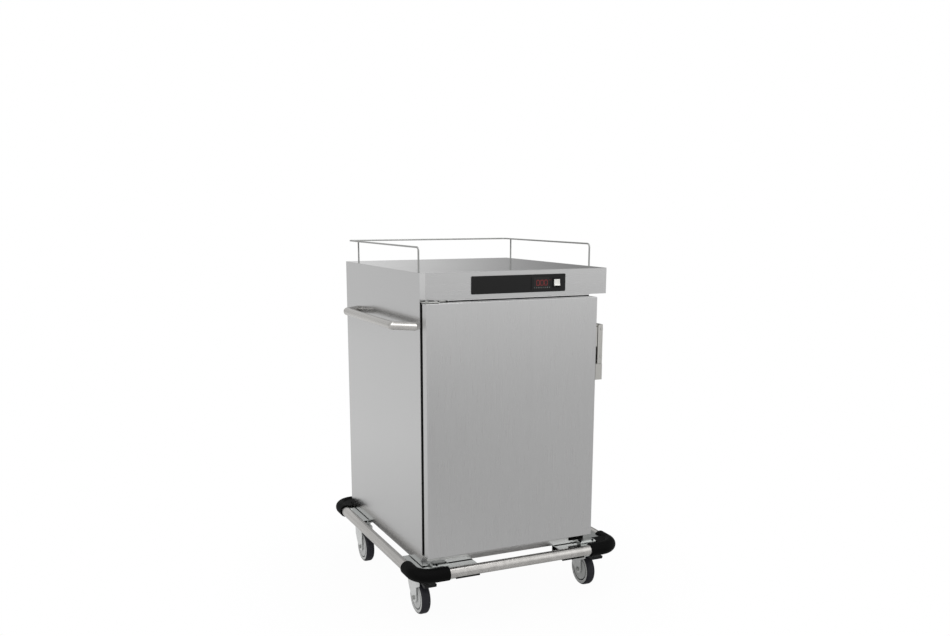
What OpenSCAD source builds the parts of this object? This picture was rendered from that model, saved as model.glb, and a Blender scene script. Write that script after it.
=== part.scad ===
// Heated banquet trolley: an insulated stainless cabinet with one full-height door,
// a control hood, a gallery rail, a push handle, a tubular bumper frame and four castors.
// Working frame: X = 0 on the body's left face, Y = 0 on the body's front plane (Y grows
// towards the back), Z = 0 on the floor. placed() then centres the whole over the floor.

/* [Cabinet] */
// Outer width of the insulated body
body_w = 650; // [600:5:700]
// Outer depth of the body, without the door
body_d = 795; // [760:5:850]
// Height of the top deck above the floor
top_h = 1220; // [1195:5:1285]
// Height of the body's lower edge above the floor
body_base_h = 204; // [202:1:206]
// Thickness of the outer and inner sheets
sheet_t = 1.2; // [0.8:0.1:1.5]
// Thickness of the insulated side walls and back wall
wall_t = 40; // [34:1:45]
// Width of the black seal margin between opening and door edge at top and bottom
opening_margin = 36; // [34:1:42]
// Clear height from the chamber's ceiling to the hood's floor
ceiling_t = 40; // [34:1:45]
// How far the base pan hangs below the side sheets' lower edges
pan_drop = 2.5; // [1.5:0.5:4]
// Height of the base pan's rim, and its distance from the side sheets
pan_rim = 12; // [8:0.5:16]

/* [Hood] */
// Width of the hood, which stands out over the right side
hood_w = 720; // [700:5:760]
// Height of the hood
hood_h = 91; // [85:1:110]
// Width of the left side sheet's return on the hood's front
seam_x = 22; // [15:1:30]
// Number of vent slots in the hood's back
vent_count = 10; // [6:1:14]

/* [Control panel] */
// Width of the black control plate
plate_w = 363; // [320:1:400]
// Height of the black control plate
plate_h = 61; // [56:1:66]
// Left edge of the control plate
plate_x = 187; // [150:1:200]
// Distance from the top deck down to the plate's upper edge
plate_drop = 15.8; // [12:0.2:18]
// Thickness of the control plate
plate_t = 2.5; // [1.5:0.5:4]
// Distance from the plate's left edge to the display window
window_dx = 236; // [200:1:240]
// Width of the display window
window_w = 62; // [50:1:64]
// Height of the display window
window_h = 42; // [34:1:46]
// Width of the rocker switch's cap
rocker_w = 26; // [20:1:28]
// Height of the rocker switch's cap
rocker_h = 28; // [22:1:30]
// Distance from the plate's left edge to the rocker's centre line
rocker_dx = 328; // [324:1:332]
// Tilt of the rocker from its middle, each way
rocker_tilt = 8; // [5:1:10]

/* [Door] */
// Width of the door
door_w = 650; // [600:5:700]
// Thickness of the door
door_t = 42; // [36:1:50]
// Space between the body's front plane and the door's back, which the gasket fills
door_gap = 14; // [12:1:18]
// Clear gap between the hood's lower edge and the door's upper edge
door_top_gap = 6; // [6:0.5:10]
// Height of the front band below the door
door_band = 43; // [36:1:60]
// Inset of the gasket from the door's edges
gasket_inset = 12; // [10:1:13]
// Width of the gasket
gasket_w = 20; // [16:1:20]
// Air left between the closed gasket and the body
gasket_clear = 0.3; // [0.2:0.1:0.6]

/* [Hinges] */
// Distance of the pivot axis from the door's left edge
pivot_x = 10; // [9:0.5:12]
// Diameter of the hinge pins
pin_d = 8; // [6:1:10]
// Radial running clearance of pins and shafts
run_clear = 0.05; // [0.03:0.01:0.08]
// Thickness of the hinge arms
arm_t = 5; // [4:0.5:5.4]
// Length of the hinge arm's wide part along the front
arm_w = 50; // [40:1:60]
// Length of the hinge arm's narrow part
arm_tail = 50; // [40:1:60]
// Depth of each pin in the door
pin_depth = 20; // [15:1:30]

/* [Latch] */
// Width of the latch beyond the door's right edge
latch_w = 27; // [22:1:32]
// Length of the latch base
latch_h = 198; // [180:1:220]
// Distance from the top deck down to the latch's upper end
latch_drop = 195; // [180:1:220]
// Length of the latch lever
lever_h = 140; // [120:1:150]
// Width of the latch lever
lever_w = 19; // [16:1:20]
// Thickness of the latch lever
lever_t = 9; // [7:1:10]

/* [Chamber] */
// Number of tray levels
tray_levels = 10; // [6:1:10]
// Distance from one tray level to the next
tray_pitch = 70; // [60:1:70]
// Width of a tray
tray_w = 530; // [530:1:540]
// Depth of a runner
runner_len = 650; // [600:5:670]
// Height of a runner's upright edge
runner_edge_h = 12; // [8:1:16]
// Height of the air space above the ceiling baffle
plenum_h = 48; // [44:1:50]
// Diameter of the fan impeller
fan_d = 150; // [130:2:160]
// Depth of the water pan
pan_h = 40; // [30:1:45]

/* [Gallery rail] */
// Diameter of the rail's rod
rail_d = 6; // [5:0.5:10]
// Height of the rail's centre above the top deck
rail_h = 82; // [60:1:120]
// Distance of the left rail from the hood's left face
rail_inset_l = 10; // [8:1:30]
// Distance of the right rail from the hood's right face
rail_inset_r = 20; // [8:1:30]
// Distance of the left front post from the hood's front face
rail_front_l = 32; // [20:1:120]
// Distance of the right front post from the hood's front face
rail_front_r = 88; // [20:1:120]
// Distance from one post of a side to the next, as far back as the side rail runs
rail_post_pitch = 630; // [500:5:660]
// Distance of the back rail from the hood's back face
rail_inset_b = 19; // [12:1:40]
// Bend radius of the rail at its corners
rail_bend = 14; // [10:1:25]

/* [Push handle] */
// Diameter of the handle's tube
handle_d = 25; // [20:1:30]
// Distance of the bar's centre line from the side panel
handle_standoff = 60; // [45:1:80]
// Height of the handle's centre line below the top deck
handle_drop = 180; // [150:1:250]
// Distance of the handle's front foot from the body's front plane
handle_front = 44; // [40:1:100]
// Distance between the handle's two feet
handle_span = 621; // [400:5:660]
// Wall thickness of the handle's tube
handle_wall = 1.5; // [1:0.1:2]

/* [Bumper frame] */
// Diameter of the bumper tubes
tube_d = 38; // [36:1:40]
// Wall thickness of the bumper tubes
tube_wall = 1.5; // [1:0.1:2.5]
// Height of the tubes' centre lines above the floor
tube_h = 187.5; // [186.5:0.5:188.5]
// Distance of the left tube's centre line from the body's left face
tube_out_l = 37; // [33:1:60]
// Distance of the right tube's centre line from the hood's right face
tube_out_r = 37; // [33:1:60]
// Distance of the front tube's centre line from the body's front plane
tube_out_f = 58; // [52:1:80]
// Distance of the rear tube's centre line from the body's back face
tube_out_b = 81; // [50:1:100]
// Diameter of the rubber corner bumpers
bumper_d = 50; // [46:1:54]
// Length of each corner bumper arm from the tubes' crossing point
bumper_arm = 112; // [100:1:130]
// Bend radius of a corner bumper's centre line
bumper_bend = 62; // [55:1:80]

/* [Corner brackets] */
// Thickness of the bracket sheet
bracket_t = 3; // [2:0.5:4]
// Length of a bracket along the front or back tube, from the tubes' crossing point
bracket_len = 230; // [200:1:250]
// Diameter of the drain and jig hole in each bracket
bracket_hole_d = 9; // [6:0.5:12]

/* [Castors] */
// Diameter of the wheels
wheel_d = 125; // [116:1:128]
// Width of the tyres
tyre_w = 36; // [30:1:38]
// Thickness of the tyres
tyre_t = 6; // [5:0.5:9]
// Distance from the swivel axis to the axle
trail = 40; // [34:1:44]
// Distance of the front swivel axes from the left and right tubes' centre lines
swivel_dx_f = 57.5; // [50:0.5:70]
// Distance of the rear swivel axes from the left and right tubes' centre lines
swivel_dx_r = 50; // [50:0.5:70]
// Distance of the front swivel axes from the body's front plane
swivel_front = 112.5; // [95:0.5:120]
// Distance of the rear swivel axes from the body's back face
swivel_back = 95; // [90:0.5:120]
// Diameter of the axle bolts
axle_d = 10; // [8:1:12]
// Diameter of the king pins
king_d = 12; // [10:1:14]
// Width of the brake pedal's pad
pedal_w = 46; // [30:1:50]

/* [Hidden] */
$fn = 48;

// colours
steel = "#b4b5b3";
steel_light = "#c8c8c4";
steel_dark = "#8e8f8d";
black = "#161616";
rubber_black = "#1b1b1b";
tyre_grey = "#2b2b30";
plastic_grey = "#a9aaa9";
wool = "#cfc9a8";

// small clearances
slip = 0.3;
eps = 0.01;

// heights
hood_z = top_h - hood_h;
door_z1 = hood_z - door_top_gap;
door_z0 = body_base_h + door_band;
door_h = door_z1 - door_z0;
ch_z0 = door_z0 + opening_margin;
ch_z1 = hood_z - ceiling_t;

// chamber in plan
ch_x0 = wall_t;
ch_x1 = body_w - wall_t;
ch_y1 = body_d - wall_t;
ch_mid_x = (ch_x0 + ch_x1) / 2;
ch_mid_y = (sheet_t + ch_y1) / 2;

// door planes
door_y1 = -door_gap;
door_y0 = -door_gap - door_t;

// hinge axis
pivot_y = door_y0 + door_t * 0.43;
bush_r = pin_d / 2 + 4;
arm_depth = -door_y0 - 4;
tail_depth = 12;
screw_r = 2;
screw_head_r = 2.6;

// control plate
plate_z1 = top_h - plate_drop;
plate_z0 = plate_z1 - plate_h;
plate_r = 4;
window_x0 = plate_x + window_dx;
window_z0 = plate_z0 + (plate_h - window_h) / 2;
window_t = 1.5;
ctrl_w = window_w + 8;
ctrl_h = window_h - 10;
ctrl_d = 62;
rocker_x = plate_x + rocker_dx;
rocker_z = (plate_z0 + plate_z1) / 2;
bezel_rim = 3;
switch_d = 26;
rocker_pivot_y = -plate_t + 3;
rocker_r = rocker_h / 2;

// chamber fittings
baffle_z = ch_z1 - plenum_h;
fan_z = ch_z1 - 10;
blade_h = 26;
blade_count = 12;
shaft_r = 4;
motor_r = 38;
motor_h = 56;
heater_r = fan_d / 2 + 22;
heater_rod_r = 4;
tray_z0 = ch_z0 + pan_h + 12;
runner_t = 1.5;
runner_w = (ch_x1 - ch_x0 - tray_w) / 2 + 10;
post_w = 14;
post_t = 8;
rack_y0 = ch_mid_y - runner_len / 2;
rack_y1 = ch_mid_y + runner_len / 2;
water_w = 530;
water_d = 325;

// rail
rail_r = rail_d / 2;
rail_x0 = rail_inset_l;
rail_x1 = hood_w - rail_inset_r;
rail_y1 = body_d - rail_inset_b;
rail_z = top_h + rail_h;

// handle
handle_z = top_h - handle_drop;
handle_y1 = handle_front + handle_span;

// frame tubes
tube_r = tube_d / 2;
tx0 = -tube_out_l;
tx1 = hood_w + tube_out_r;
ty0 = -tube_out_f;
ty1 = body_d + tube_out_b;
bumper_r = bumper_d / 2;

// brackets: the lower plate lies on the tubes' undersides, the upper strip under the base pan
plate_top_z = tube_h - tube_r;
plate_bot_z = plate_top_z - bracket_t;
strip_z1 = body_base_h - pan_drop;
strip_z0 = strip_z1 - bracket_t;

// castors
wheel_r = wheel_d / 2;
fork_gap = tyre_w / 2 + 3;
fork_t = 3;
top_plate = [100, 80, 3.5];
race_r = 26;
race_h = 5;
crown_top = plate_bot_z - top_plate[2] - race_h - slip;
crown_bot = wheel_d + 20;
crown_t = 4;
crown_r = 34;
leg_r = 17;
axle_r = axle_d / 2;
king_r = king_d / 2;
sxf = [tx0 + swivel_dx_f, tx1 - swivel_dx_f];
sxr = [tx0 + swivel_dx_r, tx1 - swivel_dx_r];
sy0 = swivel_front;
sy1 = body_d - swivel_back;
swivels = [[sxf[0], sy0], [sxf[1], sy0], [sxr[0], sy1], [sxr[1], sy1]];
pedal_y = -trail + 9;
pedal_z = wheel_d + 13;
pedal_rod_r = 3;
pedal_reach = trail + wheel_r + 37;
pad_d = 34;

// overall extents, for centring over the floor
x_min = min(-handle_standoff - handle_d / 2, tx0 - bumper_r);
x_max = tx1 + bumper_r;
y_min = ty0 - bumper_r;
y_max = ty1 + bumper_r;

module placed() {
  translate([-(x_min + x_max) / 2, -(y_min + y_max) / 2, 0]) children();
}

// a box given by its low and high coordinates along each axis
module block(x, y, z) {
  translate([x[0], y[0], z[0]]) cube([x[1] - x[0], y[1] - y[0], z[1] - z[0]]);
}

// a cylinder of radius r from a point, along X, Y or Z
module rod_x(x, y, z, r) {
  translate([x[0], y, z]) rotate([0, 90, 0]) cylinder(r = r, h = x[1] - x[0]);
}
module rod_y(x, y, z, r) {
  translate([x, y[0], z]) rotate([-90, 0, 0]) cylinder(r = r, h = y[1] - y[0]);
}
module rod_z(x, y, z, r) {
  translate([x, y, z[0]]) cylinder(r = r, h = z[1] - z[0]);
}

// a flat rectangle with round corners, from the origin
module round_rect(w, h, r) {
  translate([r, 0]) square([w - 2 * r, h]);
  translate([0, r]) square([w, h - 2 * r]);
  for (x = [r, w - r], y = [r, h - r]) translate([x, y]) circle(r = r);
}

// a plate with round corners, standing in the XZ plane between two depths
module front_plate(x, z, y, r) {
  translate([x[0], y[1], z[0]]) rotate([90, 0, 0])
    linear_extrude(height = y[1] - y[0]) round_rect(x[1] - x[0], z[1] - z[0], r);
}

// a rectangular ring in the XZ plane
module front_ring(x, z, y, w) {
  difference() {
    block(x, y, z);
    block([x[0] + w, x[1] - w], [y[0] - 1, y[1] + 1], [z[0] + w, z[1] - w]);
  }
}

// ---- body shell ----

module side_panel_left() {
  color(steel) placed() {
    block([0, sheet_t], [0, body_d], [body_base_h, top_h - sheet_t]);
    block([0, seam_x], [0, sheet_t], [hood_z, top_h - sheet_t]);
  }
}

module side_panel_right() {
  color(steel) placed() block([body_w - sheet_t, body_w], [0, body_d], [body_base_h, hood_z]);
}

module back_panel() {
  color(steel) placed()
    block([sheet_t, body_w - sheet_t], [body_d - sheet_t, body_d], [body_base_h, hood_z]);
}

module base_pan() {
  rim = pan_rim;
  color(steel_dark) placed() {
    difference() {
      block([rim, body_w - rim], [rim, body_d - rim], [strip_z1, strip_z1 + rim]);
      block([rim + sheet_t, body_w - rim - sheet_t], [rim + sheet_t, body_d - rim - sheet_t],
            [strip_z1 + sheet_t, strip_z1 + rim + 1]);
    }
    difference() {
      block([sheet_t, body_w - sheet_t], [sheet_t, body_d - sheet_t],
            [strip_z1 + rim - sheet_t, strip_z1 + rim]);
      block([rim + sheet_t / 2, body_w - rim - sheet_t / 2],
            [rim + sheet_t / 2, body_d - rim - sheet_t / 2],
            [strip_z1, strip_z1 + rim + 1]);
    }
  }
}

module front_frame() {
  color(steel) placed() difference() {
    block([sheet_t, body_w - sheet_t], [0, sheet_t], [body_base_h, hood_z]);
    block([ch_x0, ch_x1], [-1, sheet_t + 1], [ch_z0, ch_z1]);
    for (z = [hinge_top_z + arm_t / 2, hinge_bot_z + arm_t / 2], x = hinge_screw_x)
      rod_y(x, [-1, sheet_t + 1], z, screw_r + run_clear);
  }
}

module inner_liner() {
  color(steel_light) placed() difference() {
    block([ch_x0 - sheet_t, ch_x1 + sheet_t], [sheet_t, ch_y1 + sheet_t],
          [ch_z0 - sheet_t, ch_z1 + sheet_t]);
    block([ch_x0, ch_x1], [0, ch_y1], [ch_z0, ch_z1]);
    rod_z(ch_mid_x, ch_mid_y, [ch_z1 - 1, ch_z1 + 5], shaft_r + 2);
    for (s = [-1, 1])
      rod_z(ch_mid_x + s * 20, ch_mid_y + heater_r, [ch_z1 - 1, ch_z1 + 5], heater_rod_r + run_clear);
  }
}

module insulation() {
  g = slip;
  liner_x0 = ch_x0 - sheet_t - g;
  liner_x1 = ch_x1 + sheet_t + g;
  pan_top = strip_z1 + pan_rim;
  color(wool) placed() {
    block([sheet_t + g, liner_x0], [sheet_t + g, body_d - sheet_t - g], [pan_top + g, hood_z - g]);
    block([liner_x1, body_w - sheet_t - g], [sheet_t + g, body_d - sheet_t - g],
          [pan_top + g, hood_z - g]);
    block([liner_x0 + g, liner_x1 - g], [ch_y1 + sheet_t + g, body_d - sheet_t - g],
          [pan_top + g, hood_z - g]);
    difference() {
      block([liner_x0 + g, liner_x1 - g], [sheet_t + g, ch_y1 + sheet_t],
            [pan_top + g, ch_z0 - sheet_t - g]);
      for (x = hinge_screw_x)
        rod_y(x, [0, hinge_screw_len + g], hinge_bot_z + arm_t / 2, screw_r + g);
    }
    difference() {
      block([liner_x0 + g, liner_x1 - g], [sheet_t + g, ch_y1 + sheet_t],
            [ch_z1 + sheet_t + g, hood_z - g]);
      rod_z(ch_mid_x, ch_mid_y, [ch_z1, hood_z], shaft_r + 2);
      for (s = [-1, 1])
        rod_z(ch_mid_x + s * 20, ch_mid_y + heater_r, [ch_z1, hood_z], heater_rod_r + g);
      for (x = hinge_screw_x)
        rod_y(x, [0, hinge_screw_len + g], hinge_top_z + arm_t / 2, screw_r + g);
    }
  }
}

// ---- hood ----

module top_deck() {
  color(steel_light) placed() block([0, hood_w], [0, body_d], [top_h - sheet_t, top_h]);
}

module hood_shell() {
  vent_w = 60;
  vent_h = 5;
  z1 = top_h - sheet_t;
  color(steel) placed() {
    difference() {
      block([seam_x + slip, hood_w], [0, sheet_t], [hood_z, z1]);
      block([window_x0 - 4 - slip, window_x0 - 4 + ctrl_w + slip], [-1, sheet_t + 1],
            [window_z0 + 5 - slip, window_z0 + 5 + ctrl_h + slip]);
      block([rocker_x - rocker_w / 2 - slip, rocker_x + rocker_w / 2 + slip], [-1, sheet_t + 1],
            [rocker_z - rocker_h / 2 - slip, rocker_z + rocker_h / 2 + slip]);
    }
    block([hood_w - sheet_t, hood_w], [0, body_d], [hood_z, z1]);
    difference() {
      block([sheet_t, hood_w], [body_d - sheet_t, body_d], [hood_z, z1]);
      for (i = [0 : vent_count - 1])
        block([hood_w * 0.5 + (i % 2) * (vent_w + 20), hood_w * 0.5 + (i % 2) * (vent_w + 20) + vent_w],
              [body_d - sheet_t - 1, body_d + 1],
              [hood_z + 14 + floor(i / 2) * 13, hood_z + 14 + floor(i / 2) * 13 + vent_h]);
      block([inlet_x - inlet_w / 2 - slip, inlet_x + inlet_w / 2 + slip], [body_d - sheet_t - 1, body_d + 1],
            [inlet_z - inlet_h / 2 - slip, inlet_z + inlet_h / 2 + slip]);
    }
  }
}

module hood_floor() {
  color(steel_dark) placed() difference() {
    block([sheet_t, hood_w - sheet_t], [sheet_t, body_d - sheet_t], [hood_z, hood_z + sheet_t]);
    rod_z(ch_mid_x, ch_mid_y, [hood_z - 1, hood_z + 5], shaft_r + 2);
    for (s = [-1, 1])
      rod_z(ch_mid_x + s * 20, ch_mid_y + heater_r, [hood_z - 1, hood_z + 5], heater_rod_r + run_clear);
  }
}

inlet_x = 90;
inlet_z = hood_z + hood_h / 2;
inlet_w = 27;
inlet_h = 20;

module power_inlet() {
  color(black) placed() difference() {
    union() {
      front_plate([inlet_x - inlet_w / 2 - 11, inlet_x + inlet_w / 2 + 11],
                  [inlet_z - inlet_h / 2 - 4, inlet_z + inlet_h / 2 + 4], [body_d, body_d + 3], 3);
      block([inlet_x - inlet_w / 2, inlet_x + inlet_w / 2], [body_d - 22, body_d + eps],
            [inlet_z - inlet_h / 2, inlet_z + inlet_h / 2]);
    }
    block([inlet_x - 11.5, inlet_x + 11.5], [body_d - 16, body_d + 4], [inlet_z - 7.5, inlet_z + 7.5]);
  }
}

module control_plate() {
  color(black) placed() difference() {
    front_plate([plate_x, plate_x + plate_w], [plate_z0, plate_z1], [-plate_t, 0], plate_r);
    front_plate([window_x0, window_x0 + window_w], [window_z0, window_z0 + window_h],
                [-plate_t - 1, -plate_t + window_t], 2);
    block([window_x0 - 4 - slip, window_x0 - 4 + ctrl_w + slip], [-plate_t + window_t, 1],
          [window_z0 + 5 - slip, window_z0 + 5 + ctrl_h + slip]);
    block([rocker_x - rocker_w / 2 - slip, rocker_x + rocker_w / 2 + slip], [-plate_t - 1, 1],
          [rocker_z - rocker_h / 2 - slip, rocker_z + rocker_h / 2 + slip]);
  }
}

module display_window() {
  color("#2a0a0a") placed()
    front_plate([window_x0 + 0.1, window_x0 + window_w - 0.1],
                [window_z0 + 0.1, window_z0 + window_h - 0.1], [-plate_t - 0.3, -plate_t + window_t], 2);
}

module controller_body() {
  color(black) placed()
    block([window_x0 - 4, window_x0 - 4 + ctrl_w], [-plate_t + window_t, ctrl_d],
          [window_z0 + 5, window_z0 + 5 + ctrl_h]);
}

module rocker_bezel() {
  w = rocker_w + 2 * bezel_rim;
  h = rocker_h + 2 * bezel_rim;
  y0 = -plate_t - 2;
  color(black) placed() difference() {
    union() {
      front_plate([rocker_x - w / 2, rocker_x + w / 2], [rocker_z - h / 2, rocker_z + h / 2],
                  [y0, -plate_t], 2);
      block([rocker_x - rocker_w / 2, rocker_x + rocker_w / 2], [-plate_t - eps, switch_d],
            [rocker_z - rocker_h / 2, rocker_z + rocker_h / 2]);
    }
    block([rocker_x - rocker_w / 2 + 1.5, rocker_x + rocker_w / 2 - 1.5], [y0 - 1, rocker_pivot_y + 9],
          [rocker_z - rocker_h / 2 + 1, rocker_z + rocker_h / 2 - 1]);
    rod_x([rocker_x - rocker_w / 2 + 0.5, rocker_x + rocker_w / 2 - 0.5], rocker_pivot_y, rocker_z,
          1.5 + run_clear);
  }
}

module rocker_switch() {
  hw = rocker_w / 2 - 1.9;
  hh = rocker_h / 2 - 3;
  color("#e9e9e6") placed()
    translate([rocker_x, rocker_pivot_y, rocker_z]) rotate([-rocker_tilt, 0, 0]) {
      rotate([90, 0, 90]) translate([0, 0, -hw]) linear_extrude(height = 2 * hw)
        polygon([[-8, hh], [-6, 0], [-8, -hh], [1, -hh], [3, -4], [3, 4], [1, hh]]);
      rod_x([-rocker_w / 2 + 0.7, rocker_w / 2 - 0.7], 0, 0, 1.5);
    }
}

// ---- chamber ----

module fan_motor() {
  z0 = hood_z + sheet_t;
  color(steel_dark) placed() difference() {
    union() {
      rod_z(ch_mid_x, ch_mid_y, [z0, z0 + 3], motor_r + 8);
      rod_z(ch_mid_x, ch_mid_y, [z0 + 3 - eps, z0 + motor_h], motor_r);
      rod_z(ch_mid_x, ch_mid_y, [z0 + motor_h - eps, z0 + motor_h + 6], 14);
    }
    rod_z(ch_mid_x, ch_mid_y, [z0 - 1, z0 + 30], shaft_r + run_clear);
  }
}

module fan_impeller() {
  color(steel_light) placed() translate([ch_mid_x, ch_mid_y, 0]) {
    rod_z(0, 0, [fan_z - blade_h, hood_z + sheet_t + 26], shaft_r);
    rod_z(0, 0, [fan_z - blade_h + 2, fan_z], 12);
    rod_z(0, 0, [fan_z - 1.5, fan_z], fan_d / 2);
    for (i = [0 : blade_count - 1]) rotate([0, 0, i * 360 / blade_count])
      block([fan_d * 0.28, fan_d / 2 - 1], [-0.6, 0.6], [fan_z - blade_h, fan_z - 1]);
  }
}

module heater_element() {
  ring_z = fan_z - blade_h / 2;
  cx = ch_mid_x;
  cy = ch_mid_y;
  color("#6b5f55") placed() {
    difference() {
      translate([cx, cy, ring_z]) rotate_extrude() translate([heater_r, 0]) circle(r = heater_rod_r);
      block([cx - 20, cx + 20], [cy + heater_r - 20, cy + heater_r + 20], [ring_z - 9, ring_z + 9]);
    }
    for (s = [-1, 1]) {
      rod_z(cx + s * 20, cy + heater_r, [ring_z - heater_rod_r, hood_z + 24], heater_rod_r);
      rod_z(cx + s * 20, cy + heater_r, [hood_z + sheet_t, hood_z + sheet_t + 4], 9);
    }
  }
}

module air_baffle() {
  x0 = ch_x0 + slip;
  x1 = ch_x1 - slip;
  y0 = 30;
  y1 = ch_y1 - 40;
  color(steel_light) placed() {
    difference() {
      block([x0, x1], [y0, y1], [baffle_z, baffle_z + sheet_t]);
      rod_z(ch_mid_x, ch_mid_y, [baffle_z - 1, baffle_z + 3], fan_d * 0.4);
    }
    block([x0, x0 + sheet_t], [y0, y1], [baffle_z, ch_z1]);
    block([x1 - sheet_t, x1], [y0, y1], [baffle_z, ch_z1]);
    block([x0, x1], [y0, y0 + sheet_t], [baffle_z, ch_z1 - 8]);
    for (a = [0, 90]) translate([ch_mid_x, ch_mid_y, 0]) rotate([0, 0, a])
      rod_x([-fan_d * 0.4 - 1, fan_d * 0.4 + 1], 0, baffle_z + 1, 1);
    difference() {
      rod_z(ch_mid_x, ch_mid_y, [baffle_z, baffle_z + 2], fan_d * 0.25 + 1);
      rod_z(ch_mid_x, ch_mid_y, [baffle_z - 1, baffle_z + 3], fan_d * 0.25 - 1);
    }
  }
}

module water_pan() {
  x0 = ch_mid_x - water_w / 2;
  y0 = 60;
  color(steel_light) placed() {
    difference() {
      block([x0 + 10, x0 + water_w - 10], [y0 + 10, y0 + water_d - 10], [ch_z0, ch_z0 + pan_h]);
      block([x0 + 11, x0 + water_w - 11], [y0 + 11, y0 + water_d - 11], [ch_z0 + 1, ch_z0 + pan_h + 1]);
    }
    difference() {
      block([x0, x0 + water_w], [y0, y0 + water_d], [ch_z0 + pan_h - 1, ch_z0 + pan_h]);
      block([x0 + 10.5, x0 + water_w - 10.5], [y0 + 10.5, y0 + water_d - 10.5],
            [ch_z0, ch_z0 + pan_h + 1]);
    }
  }
}

// one rack: two posts against the liner and an angle runner at each tray level
module rack() {
  top = tray_z0 + tray_pitch * (tray_levels - 1) + runner_edge_h + 6;
  for (y = [rack_y0 + 60, rack_y1 - 60 - post_w])
    block([0, post_t], [y, y + post_w], [ch_z0, top]);
  for (i = [0 : tray_levels - 1]) translate([0, 0, tray_z0 + i * tray_pitch]) {
    block([post_t + 0.2, post_t + 0.2 + runner_t], [rack_y0, rack_y1], [0, runner_edge_h]);
    block([post_t + 0.2, runner_w], [rack_y0, rack_y1], [0, runner_t]);
  }
}

module rack_left() {
  color(steel_light) placed() translate([ch_x0, 0, 0]) rack();
}

module rack_right() {
  color(steel_light) placed() translate([ch_x1, 0, 0]) mirror([1, 0, 0]) rack();
}

// ---- gallery rail and push handle ----

// a quarter bend of a rod, from the origin along +X turning to +Y
module bend(r_bend, r_rod) {
  translate([0, r_bend, 0]) rotate([0, 0, -90]) rotate_extrude(angle = 90)
    translate([r_bend, 0]) circle(r = r_rod);
}

// The straight runs are a hair thinner than the bends and end just inside them.
module gallery_rail() {
  b = rail_bend;
  thin = 0.03;
  lap = 0.3;
  rod_r = rail_r - thin;
  color(steel_light) placed() {
    // side rails with their front posts, which bend down into the deck
    for (side = [[rail_x0, rail_front_l], [rail_x1, rail_front_r]]) {
      rod_z(side[0], side[1], [top_h, rail_z - b + lap], rod_r);
      translate([side[0], side[1] + b, rail_z - b]) rotate([90, 0, 90]) rotate([0, 0, 90])
        rotate_extrude(angle = 90) translate([b, 0]) circle(r = rail_r);
      rod_y(side[0], [side[1] + b - lap, rail_y1 - b + lap], rail_z, rod_r);
      for (y = [side[1] + rail_post_pitch : rail_post_pitch : rail_y1 - b])
        rod_z(side[0], y, [top_h, rail_z], rod_r - thin);
    }
    // back rail and its two bends
    rod_x([rail_x0 + b - lap, rail_x1 - b + lap], rail_y1, rail_z, rod_r);
    translate([rail_x1 - b, rail_y1, rail_z]) mirror([0, 1, 0]) bend(b, rail_r);
    translate([rail_x0 + b, rail_y1, rail_z]) mirror([1, 0, 0]) mirror([0, 1, 0]) bend(b, rail_r);
  }
}

// the handle's outline at a radius: two legs at 45 degrees from the panel, two bends and a bar.
// The straight runs are a hair thinner than the bends and end just inside them.
module handle_path(r) {
  s = handle_standoff;
  b = handle_d * 0.7;
  t = b * tan(22.5);
  leg = s * sqrt(2) - t;
  thin = 0.05;
  lap = 0.5;
  translate([0, 0, handle_z]) {
    for (foot = [[handle_front, 135], [handle_y1, -135]])
      translate([0, foot[0], 0]) rotate([0, 0, foot[1]]) rotate([0, 90, 0])
        translate([0, 0, -20]) cylinder(r = r - thin, h = leg + 20 + lap);
    translate([-s + b, handle_front + s + t, 0]) rotate([0, 0, 180])
      rotate_extrude(angle = 45) translate([b, 0]) circle(r = r);
    translate([-s + b, handle_y1 - s - t, 0]) rotate([0, 0, 135])
      rotate_extrude(angle = 45) translate([b, 0]) circle(r = r);
    rod_y(-s, [handle_front + s + t - lap, handle_y1 - s - t + lap], 0, r - thin);
  }
}

module push_handle() {
  color(steel_light) placed() difference() {
    handle_path(handle_d / 2);
    handle_path(handle_d / 2 - handle_wall);
    block([0, 100], [handle_front - 100, handle_y1 + 100], [handle_z - 50, handle_z + 50]);
  }
}

// ---- door ----

module door_outer() {
  color(steel) placed() difference() {
    block([0, door_w], [door_y0, door_y1], [door_z0, door_z1]);
    block([sheet_t, door_w - sheet_t], [door_y0 + sheet_t, door_y1 + 1],
          [door_z0 + sheet_t, door_z1 - sheet_t]);
    rod_z(pivot_x, pivot_y, [door_z0 - 1, door_z1 + 1], bush_r + run_clear);
  }
}

module door_inner() {
  color(steel) placed()
    block([sheet_t, door_w - sheet_t], [door_y1 - sheet_t, door_y1],
          [door_z0 + sheet_t, door_z1 - sheet_t]);
}

module door_insulation() {
  g = slip;
  side = pivot_x + bush_r + 2;
  color(wool) placed() difference() {
    block([sheet_t + g, door_w - sheet_t - g], [door_y0 + sheet_t + g, door_y1 - sheet_t - g],
          [door_z0 + sheet_t + g, door_z1 - sheet_t - g]);
    for (z = [[door_z0, door_z0 + pin_depth + 3], [door_z1 - pin_depth - 3, door_z1]])
      block([0, side], [door_y0, door_y1], z);
  }
}

module door_gasket() {
  i = gasket_inset;
  color(rubber_black) placed()
    front_ring([i, door_w - i], [door_z0 + i, door_z1 - i], [door_y1, -gasket_clear], gasket_w);
}

// ---- hinges ----

hinge_top_z = door_z1 + 0.5;
hinge_bot_z = door_z0 - 0.5 - arm_t;
hinge_screw_x = [arm_w + arm_tail * 0.24, arm_w + arm_tail * 0.84];
hinge_screw_len = 10;

module hinge_bushes() {
  color("#c9b27a") placed()
    for (z = [door_z0, door_z1 - pin_depth]) difference() {
      rod_z(pivot_x, pivot_y, [z, z + pin_depth], bush_r);
      rod_z(pivot_x, pivot_y, [z - 1, z + pin_depth + 1], pin_d / 2 + run_clear);
    }
}

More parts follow.
